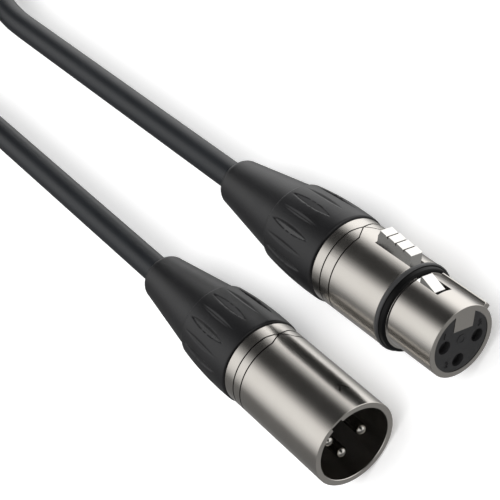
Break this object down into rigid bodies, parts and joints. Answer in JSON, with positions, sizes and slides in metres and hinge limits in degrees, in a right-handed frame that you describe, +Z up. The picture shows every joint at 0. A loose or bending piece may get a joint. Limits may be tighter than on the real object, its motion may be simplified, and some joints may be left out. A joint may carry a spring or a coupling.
{
  "type": "microphone lead",
  "caption": "Balanced microphone lead with a pin connector and a latching socket connector, its spare cable folded into a tied hank.",
  "frame": {"origin": "on the surface the lead lies on, under the middle of the box round the two connectors", "axes": "+Z up, the connectors' fronts face -Y, the pin connector is on the -X side"},
  "size_m": [0.064, 0.3135, 0.0256],
  "materials": {
    "satin_nickel": "satin nickel plate on die-cast metal",
    "contact_metal": "nickel-plated brass contacts",
    "insert_plastic": "black moulded polyamide",
    "boot_rubber": "black satin elastomer",
    "inner_plastic": "black moulded polyamide, out of sight",
    "cable_jacket": "dark grey flexible PVC, matt",
    "core_insulation_red": "red core insulation",
    "core_insulation_blue": "blue core insulation",
    "bare_copper": "tinned copper drain wire",
    "ring_rubber": "black rubber",
    "latch_metal": "polished nickel plate",
    "spring_steel": "spring steel",
    "tie_fabric": "black hook-and-loop strap"
  },
  "bodies": {
    "lead": {"cable_coil": "cable_jacket", "cable_tie": "tie_fabric", "female_boot": "boot_rubber", "female_bushing": "inner_plastic", "female_cable": "cable_jacket", "female_cable_clamp": "inner_plastic", "female_core_a": "core_insulation_red", "female_core_b": "core_insulation_blue", "female_drain_wire": "bare_copper", "female_insert": "insert_plastic", "female_jacket_end": "cable_jacket", "female_shell": "satin_nickel", "female_socket_1": "contact_metal", "female_socket_2": "contact_metal", "female_socket_3": "contact_metal", "latch_pivot": "spring_steel", "latch_spring": "spring_steel", "male_boot": "boot_rubber", "male_bushing": "inner_plastic", "male_cable": "cable_jacket", "male_cable_clamp": "inner_plastic", "male_core_a": "core_insulation_red", "male_core_b": "core_insulation_blue", "male_drain_wire": "bare_copper", "male_insert": "insert_plastic", "male_jacket_end": "cable_jacket", "male_pin_1": "contact_metal", "male_pin_2": "contact_metal", "male_pin_3": "contact_metal", "male_shell": "satin_nickel", "rubber_ring": "ring_rubber"},
    "latch": {"latch": "latch_metal"}
  },
  "joints": [
    {"name": "latch_press", "type": "hinge", "parent": "lead", "child": "latch", "pos_m": [0.01786, -0.01194, 0.01301], "axis": [0.5663, 0.0084, -0.8241], "range_deg": [0, 4.5], "stiffness_Nm_per_rad": 0.2, "deforming": ["latch_spring"]}
  ]
}
